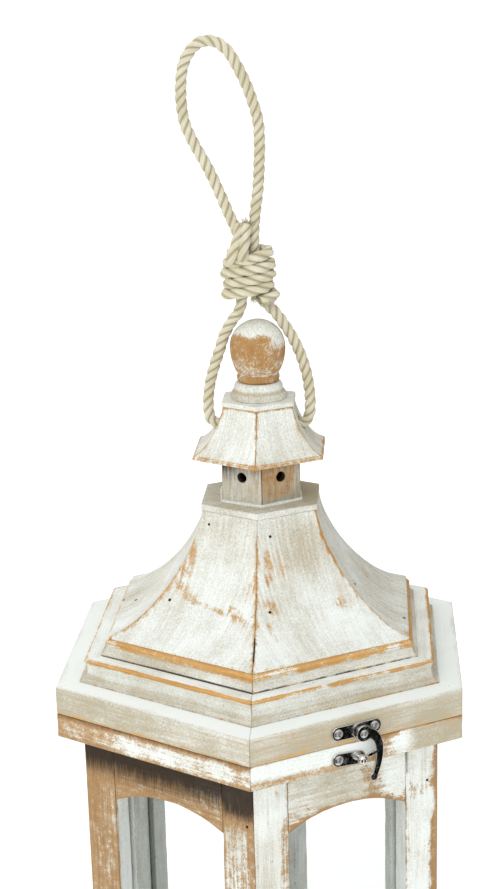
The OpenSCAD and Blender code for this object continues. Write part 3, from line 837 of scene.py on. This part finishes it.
def base_rail_marks(face, u, out, z):
    side = ramp(out, 120.2, 121.0)
    bare = 0.65 - 0.55 * spot(u, z, 30 * sin(face * 2.7), 40, 36, 7) + 0.3 * wander(u, 9, face + 40)
    # Darker along its foot.
    return {"bare": side * bare + 0.1, "shade_and_dirt": 0.3 * ramp(z, 32.5, 31)}


def plinth_marks(face, u, out, z):
    # Darker at its foot and in a band from 8.5 to 10 mm up.
    return {"bare": 0.15, "tone": 0.2, "shade_and_dirt": 0.45 * ramp(z, 3, 0) + 0.2 * between(z, 8.5, 10)}


def floor_board_marks(face, u, out, z):
    # Darker at its foot and along its top edge.
    return {"bare": 0.4, "tone": 0.3, "shade_and_dirt": 0.2 * ramp(z, 16, 14) + 0.15 * ramp(z, 30.6, 31)}


ARCH_R, ARCH_Z = 84.0, 218.0    # the arched window tops, in millimetres


def body_marks(face, u, out, z):
    """Stiles, headers and sills: one bare face, one cream one, and the rest between them; with painted shade
    under the top rail, and painted light on the window jambs.
    """
    front = ramp(out, 105.8, 106.6)
    # Painted light: the window jambs get more paint and less grey, lighter than the shade inside the windows.
    jamb = ramp(out, 106.4, 105.4)
    header = (np.abs(u) < 39.9) & (z > 250)
    right_stile, left_stile = ramp(u, 39.6, 40.4), ramp(u, -39.6, -40.4)
    arch = header * between(np.hypot(u, z - ARCH_Z), ARCH_R - 1, ARCH_R + 1.5, 1.5)
    if face == 5:
        shadow = ramp(z, 301, 325)
        milky = right_stile * (0.5 * ramp(z, 301, 295) * ramp(u, 60, 56.5) + 0.25 * ramp(z, 303, 315))
        scratched = left_stile * 0.2 * ramp(z, 302, 285) * ramp(u, -60, -52)
        cloudy = header * 0.22 * ramp(u, 5, 35)
        bare = 1.0 - milky - scratched - cloudy
        # Painted shadow cast by the top rail down the header and the top of the post.
        shade_and_dirt = front * (1.15 * shadow ** 0.8 + 0.3 * right_stile * ramp(z, 298, 307))
        return {"bare": front * bare - 0.2 * jamb, "shade_and_dirt": shade_and_dirt, "tone": 0.25 * front - 0.2 * jamb}
    if face == 0:
        bare = 0.12 + 0.62 * arch + header * (0.35 * ramp(z, 303, 297) + 0.6 * spot(u, z, 17, 312, 7, 16))
        bare += header * 0.1 * ramp(u, 26, 8) - header * 0.1 * ramp(u, 26, 30)
        bare += left_stile * (0.75 * ramp(u, -45.5 + 1.5 * wander(z, 7, 1), -42.5) * ramp(z, 306, 298))
        worn = 1.5 * wander(z, 9, 4) + ramp(z, 290, 270) * 1.2
        bare += right_stile * 0.95 * ramp(u, 58.2 - 2.0 * worn, 59.9 - 1.4 * worn)
        bare += spots(u, z, (1.1, 60, 302.5, 4.2, 4.5), (0.45, 45, 299, 6, 4.5))
        bare += right_stile * 0.55 * ramp(u, 41.6, 40.4) * ramp(z, 296, 288)
        crack = 0.5 * between(u, 39.8, 40.3, 0.15) * ramp(z, 309, 312) * ramp(z, 331, 327)
        # The darkening towards the top rail is painted shade; the crack is a dark joint.
        return {"bare": front * bare - 0.2 * jamb, "tone": 0.05 + 0.4 * header * ramp(u, 28, 20) * front,
                "shade_and_dirt": front * (0.2 * ramp(z, 322, 331) + 1.3 * crack)}
    drift = sin(face * 2.1 + 0.5)
    bare = 0.35 + 0.3 * drift - 0.4 * spot(u, z, 40 * drift, 170 + 60 * drift, 16, 90) + 0.4 * arch
    bare = bare + 0.35 * wander(z, 25, face) + 0.5 * ramp(np.abs(u), 58, 61)
    # Darker towards the top rail: painted shade.
    return {"bare": front * bare - 0.2 * jamb, "shade_and_dirt": front * 0.7 * ramp(z, 312, 330), "tone": 0.2 * front}


# ---- The wooden pieces ----

def ring_piece(node, material, body, marks=plain, axis=0, **more):
    """A ring of six mitred boards, all made from the one on face 1."""
    part = board(node, 1)
    wooden_piece(node, [(part, k, axis) for k in SIX], body, marks, material, **more)


def whole_piece(node, material, body, marks=plain, step=5.0, **more):
    """A CAD node that is one board."""
    wooden_piece(node, [(board(node, None, step), 0, 0)], body, marks, material, **more)


def six_pieces(stem, material, body, marks, axis, step=3.0, bevel=BEVEL):
    """Six equal boards, each a piece of its own."""
    part = board(f"{stem}_1", 0, step, bevel)
    for k in SIX:
        wooden_piece(f"{stem}_{k + 1}", [(part, k, axis)], body, marks, material)


def make_posts(material):
    """The corner posts: each is the right stile of one face and the left stile of the next."""
    right = board("corner_post_1", 0, 3.0, JOINT_BEVEL)
    left = board("corner_post_1", 1, 3.0, JOINT_BEVEL)
    for k in SIX:
        wooden_piece(f"corner_post_{k + 1}", [(right, k, 2), (left, (k + 1) % 6, 2)], BODY, body_marks,
                     material)


def make_cap_panels(material):
    """The cap's panels; the second and the fifth have the rope holes."""
    solid, holed = board("cap_panel_1", 0, 2.0), board("cap_panel_2", 1, 2.0)
    for k in SIX:
        wooden_piece(f"cap_panel_{k + 1}", [(holed if k % 3 == 1 else solid, k, SLOPE)], "lid", cap_marks,
                     material)


# millimetres; the profiles hold radius and height over the foot of the finial, which is on the cap
FINIAL_Z = 525.5
BALL_Z, BALL_R = 557.0, 16.8
BASE_PROFILE = [(0, -2.9), (4.9, -2.9), (4.9, 0), (17.2, 0), (17.2, 1.6), (16.7, 3.2), (16.0, 4.5),
                (15.2, 5.1), (14.8, 5.9), (14.9, 7.3), (14.5, 8.6), (13.8, 9.5), (13.0, 10.2), (0, 10.2)]
BALL_FOOT = [(0, 10.2), (11.4, 10.2), (12.7, 11.2), (13.1, 13.0), (12.8, 14.5), (11.9, 15.3), (12.0, 15.8)]


def ball_profile():
    """The ball over its ring: it draws in more slowly below its widest than above."""
    lower = 2 * BALL_R
    middle = BALL_Z - FINIAL_Z
    low = [(BALL_R - lower + sqrt(lower ** 2 - (z - middle) ** 2), z)
           for z in np.linspace(16.6, middle, 12, endpoint=False)]
    high = [(BALL_R * cos(a), middle + BALL_R * sin(a)) for a in np.linspace(0, pi / 2, 22)]
    return BALL_FOOT + low + high


def turned_piece(node, profile, marks, material, slot, around=72, step=0.6):
    """A turned piece that stands for a CAD node: a profile of radius and height, in millimetres."""
    path = resampled(np.array(profile, float), step)
    path[1:-1] = (path[:-2] + 2 * path[1:-1] + path[2:]) / 4
    angles = np.arange(around) * 2 * pi / around
    points = [(r * cos(a), r * sin(a), FINIAL_Z + h) for r, h in path[1:-1] for a in angles]
    faces = tube(0, len(path) - 2, around, capped=False)
    points += [(0, 0, FINIAL_Z + path[0, 1]), (0, 0, FINIAL_Z + path[-1, 1])]
    foot, tip = len(points) - 2, len(points) - 1
    last = foot - around
    faces += [(foot, (j + 1) % around, j) for j in range(around)]
    faces += [(tip, last + j, last + (j + 1) % around) for j in range(around)]
    far = np.full(len(points), FAR)
    part = {"points": np.array(points, float) * MM, "faces": faces, "edge": far, "seam": far}
    wooden_piece(node, [(part, 0, 2)], "lid", marks, material, slot, rough=0.12)


def finial_base_marks(face, u, out, z):
    """White, with painted shade greying the hollow of its profile."""
    up = z - FINIAL_Z
    return {"tone": 0.1 + 0.55 * between(up, 4.6, 5.6, 0.8) + 0.35 * between(up, 1.5, 4.2), "bare": -0.05}


def finial_ball_marks(face, u, out, z):
    """White over the top, and further down on the right as the camera sees it."""
    right = 0.893 * u + 0.449 * out
    top = ramp(z - BALL_Z, 7.0, 11.5) + ramp(right, 5, 13) * ramp(z - BALL_Z, -1, 7)
    white = np.clip(top, 0, 1)
    ring = ramp(z - FINIAL_Z, 16.2, 15.4)
    # The groove over the ring: a line of white paint, darkened a little as painted shade.
    seam = between(z - FINIAL_Z, 15.2, 16.0, 0.4)
    speckled = 0.22 * ramp(z - BALL_Z, -2, -10)
    return {"bare": 0.95 - 1.05 * white - 0.4 * seam - speckled * (1 - ring), "tone": 0.25 * white,
            "shade_and_dirt": 0.2 * seam}


def make_finial(paint):
    """The turned base and ball."""
    bare = wood_material("ball_wood", cover=0.92, streak=0.06, tan="#ab8149", film="#c0a077", soft=0.22,
                         chips=1.3)
    turned_piece("finial_base", BASE_PROFILE, finial_base_marks, paint, "whitewashed_wood")
    turned_piece("finial_ball", ball_profile(), finial_ball_marks, bare, "bare_wood")


def make_wood():
    """All the wooden pieces, from the plinth up."""
    rails = wood_material("rail_wood", tan="#b08a5e", rub=1.2, streak=0.35)
    body = wood_material("body_paint", tan="#a98457", film="#bfa883", rub=0.6, soft=0.16)
    lid_paint = wood_material("lid_paint", tan="#cf9d5a", film="#d8b983", rub=0.6)
    roof = wood_material("roof_paint", streak=0.4, tan="#bd8f56", rub=0.4)
    whole_piece("plinth", body, BODY, plinth_marks)
    whole_piece("floor_board", rails, BODY, floor_board_marks, slot="bare_wood")
    for node, marks in (("base_rail", base_rail_marks), ("top_rail", rail_marks)):
        ring_piece(node, rails, BODY, marks, slot="bare_wood")
    ring_piece("sills", body, BODY, body_marks)
    ring_piece("glazing_beads", body, BODY, axis=2)
    make_posts(body)
    six_pieces("arched_header", body, BODY, body_marks, 0, bevel=JOINT_BEVEL)
    for node, marks in (("lid_board", lid_board_marks), ("lower_tier", lower_tier_marks),
                        ("upper_tier", upper_tier_marks)):
        ring_piece(node, lid_paint, "lid", marks)
    six_pieces("roof_panel", roof, "lid", roof_marks, SLOPE, step=2.5)
    whole_piece("roof_top_plate", roof, "lid", top_plate_marks, step=3.0)
    ring_piece("vent_drum", roof, "lid", drum_marks, axis=2)
    whole_piece("cap_deck", body, "lid", step=3.0)
    make_cap_panels(roof)
    whole_piece("cap_top", roof, "lid", cap_top_marks, step=3.0)
    make_finial(roof)
    make_caulk(roof)


# ---- Small things on the wood ----

DRUM_CORNER, DRUM_TURN, DRUM_FOOT = 27.5, 5, 463.7    # millimetres, degrees and millimetres
BEAD_PARTS, BEAD_AROUND = 14, 8


def make_caulk(material):
    """A bead of filler round the foot of the vent drum."""
    angles = [radians(60 * k + DRUM_TURN) for k in range(7)]
    corners = [Vector((cos(a), sin(a), 0)) for a in angles]
    points = []
    for a, b in zip(corners, corners[1:]):
        for t in np.linspace(0, 1, BEAD_PARTS, endpoint=False):
            way = a.lerp(b, t)
            centre = way * (DRUM_CORNER + 0.2) + Vector((0, 0, DRUM_FOOT + 0.2))
            fat = 1.15 + 0.45 * noise.noise(way * 5.1)
            for j in range(BEAD_AROUND):
                turn = 2 * pi * j / BEAD_AROUND
                out = way.normalized() * cos(turn) + Vector((0, 0, sin(turn)))
                points.append(centre + out * fat)
    points = np.array(points, float) * MM
    piece = new_object("drum_filler", points, tube(0, 6 * BEAD_PARTS, BEAD_AROUND, closed=True))
    give(piece.data, "grain", points)
    for key, value in (("edge", FAR), ("seam", FAR), ("bare", -0.3), ("shade_and_dirt", 0.0), ("tone", 0.05)):
        give(piece.data, key, value)
    finished(piece, material, "lid", "whitewashed_wood")


# the face, and u, out and z in millimetres
LID_NAILS = [(5, -14, 36.5, 452), (5, -27, 61.7, 409), (4, -8.3, 89.9, 390), (4, 1.4, 80.7, 394),
             (0, -12.9, 37.3, 449), (0, -25.4, 60.3, 411), (1, -24.3, 87.6, 391), (1, -24.6, 57.8, 413.5),
             (2, 9, 40, 446), (2, -16, 66, 405), (3, -11, 38, 449), (3, 20, 62, 409)]
BODY_NAILS = [(5, 56.9, 107, 301.3), (0, 54.5, 107, 303.1), (2, 55.0, 107, 302), (4, -55.0, 107, 300)]
NAIL_R, NAIL_AROUND = 0.95, 10
NAIL_RINGS = ((1.0, -0.6), (1.0, 0.12), (0.6, 0.16), (0.3, 0.05))    # share of the radius, and height


def nail_heads(name, body, stem, nails, material):
    """Round nail heads set into the surface of boards. A post has the right stile of the face with its
    number less one, and the left stile of the face after that."""
    points, faces = [], []
    luck = random.Random(name)
    for face, u, out, z in nails:
        place = Vector(turned(np.array([[u, -out, z]]), face)[0]) * MM
        number = face if stem == "corner_post" and u < 0 else face + 1
        mesh = nodes[f"{stem}_{number}"].data
        tree = BVHTree.FromPolygons([v.co for v in mesh.vertices], [p.vertices for p in mesh.polygons])
        on, normal = tree.find_nearest(place)[:2]
        side = normal.orthogonal().normalized()
        over = normal.cross(side)
        radius = NAIL_R * luck.uniform(0.8, 1.2)
        first = len(points)
        for ring, height in NAIL_RINGS:
            for j in range(NAIL_AROUND):
                angle = 2 * pi * j / NAIL_AROUND
                around = side * cos(angle) + over * sin(angle)
                points.append(on + (around * radius * ring + normal * height) * MM)
        faces += tube(first, len(NAIL_RINGS), NAIL_AROUND)
    finished(new_object(name, points, faces), material, body, None)


def make_nails():
    """The nails of the roof and the posts."""
    iron = iron_material()
    nail_heads("lid_nails", "lid", "roof_panel", LID_NAILS, iron)
    nail_heads("body_nails", BODY, "corner_post", BODY_NAILS, iron)


# ---- Metal and glass ----

def metal_piece(node, body, material, bevel):
    """A CAD node of metal with rounded edges."""
    bm = bare_mesh(node)
    round_off(bm, sharp_edges(bm), bevel * MM, 3)
    mesh = bpy.data.meshes.new(node + "_metal")
    bm.to_mesh(mesh)
    bm.free()
    mesh.polygons.foreach_set("use_smooth", [True] * len(mesh.polygons))
    piece = placed(node + "_metal", mesh)
    weighted_normals(piece)
    return finished(piece, material, body, "nickel", node)


def make_metal():
    """The clasp, the hinges and their screws."""
    plate = nickel_material("nickel_plate")
    screw = nickel_material("steel_screw", 0.24, (0.62, 0.61, 0.59, 1))
    for node, body, bevel in (("latch_plate", "lid", 0.55), ("keeper_plate", BODY, 0.55),
                              ("latch_hook", "latch_hook", 0.8), ("hinge_lid_leaves", "lid", 0.2),
                              ("hinge_body_leaves", BODY, 0.2)):
        metal_piece(node, body, plate, bevel)
    for node, body in (("latch_screws", "lid"), ("keeper_screw", BODY), ("latch_pivot", "lid"),
                       ("hinge_lid_screws", "lid"), ("hinge_body_screws", BODY),
                       ("hinge_pins", BODY)):
        metal_piece(node, body, screw, 0.12)


def make_glass():
    """The panes are the CAD's own."""
    glass = glass_material()
    for k in SIX:
        pane = nodes[f"glass_pane_{k + 1}"]
        pane.data.materials.clear()
        pane.data.materials.append(glass)


# ---- Floor and light ----

FLOOR_REACH, FLOOR_GLOW = 90, 0.32
CARD_AT, CARD_HALF, CARD_TALL = 1.3, 0.45, 0.75
FLOOR_CARD = ((0.35, 0.12), (0.35, -0.12), (1.25, -0.5), (1.25, 0.5))    # ahead and to the side
FLAG = [(0.8, -0.5, 0.2), (0.8, 0.7, 0.2), (0.8, 0.7, 1.1), (0.8, -0.5, 1.1)]
LAMPS = (("key", (-1.9, -1.6, 2.6), 1.4, 16), ("top", (-0.3, -0.4, 3.2), 1.6, 7))
LAMPS_AIM = Vector((0, 0, 0.4))
SKY = 0.95


def panel(name, corners, material):
    """A flat part of the studio."""
    made = new_object(name, corners, [(0, 1, 2, 3)], False)
    made.data.materials.append(material)
    return made


def make_floor():
    """A wide pale floor."""
    s = Shader("floor", Roughness=0.9, Emission_Color=(1, 1, 1, 1), Emission_Strength=FLOOR_GLOW)
    pale = s.noise(s.place(), 0.8, 2, 0.5)
    s.set("Base Color", s.mix(pale, (0.92, 0.92, 0.92, 1), (0.95, 0.95, 0.95, 1)))
    r = FLOOR_REACH
    panel("floor", [(-r, -r, 0), (r, -r, 0), (r, r, 0), (-r, r, 0)], s.material)


def dark_panel(name, corners, grey, **surface):
    """A dark panel that the camera doesn't see and that casts no shadow."""
    s = Shader(name, Base_Color=(grey, grey, grey, 1), Roughness=1.0, **surface)
    made = panel(name, corners, s.material)
    made.visible_camera = made.visible_shadow = made.visible_transmission = False
    return made


def card(name, corners):
    """A dark card that only reflections show, so that polished metal has something dark to reflect."""
    made = dark_panel(name, corners, 0.005, Specular_IOR_Level=0.0)
    made.visible_diffuse = made.visible_volume_scatter = False


def make_cards():
    """Six dark cards round the lantern, and one over the floor in front of each."""
    up = Vector((0, 0, CARD_TALL))
    for k in SIX:
        angle = radians(60 * k - 60)
        ahead = Vector((cos(angle), sin(angle), 0))
        side = Vector((-sin(angle), cos(angle), 0))
        left, right = ahead * CARD_AT + side * CARD_HALF, ahead * CARD_AT - side * CARD_HALF
        card(f"card_{k + 1}", [left, right, right + up, left + up])
        card(f"floor_card_{k + 1}", [ahead * d + side * w + Vector((0, 0, 2 * MM)) for d, w in FLOOR_CARD])


def make_light():
    """A bright even studio with one soft lamp high on the left, and a dark flag on the right, so that
    the lantern's right side falls off a little."""
    dark_panel("flag", FLAG, 0.03)
    world = bpy.data.worlds.new("studio")
    world.use_nodes = True
    background = world.node_tree.nodes["Background"]
    background.inputs["Color"].default_value = (1.0, 1.0, 1.0, 1)
    background.inputs["Strength"].default_value = SKY
    bpy.context.scene.world = world
    bpy.context.scene.view_settings.view_transform = "Standard"
    for name, place, size, power in LAMPS:
        data = bpy.data.lights.new(name, "AREA")
        data.size, data.energy = size, power
        lamp = placed(name, data)
        lamp.location = place
        lamp.rotation_mode = "QUATERNION"
        lamp.rotation_quaternion = (LAMPS_AIM - Vector(place)).to_track_quat("-Z", "Y")


# ---- Making ----

make_camera()
make_rope()
make_wood()
make_nails()
make_metal()
make_glass()
make_floor()
make_cards()
make_light()
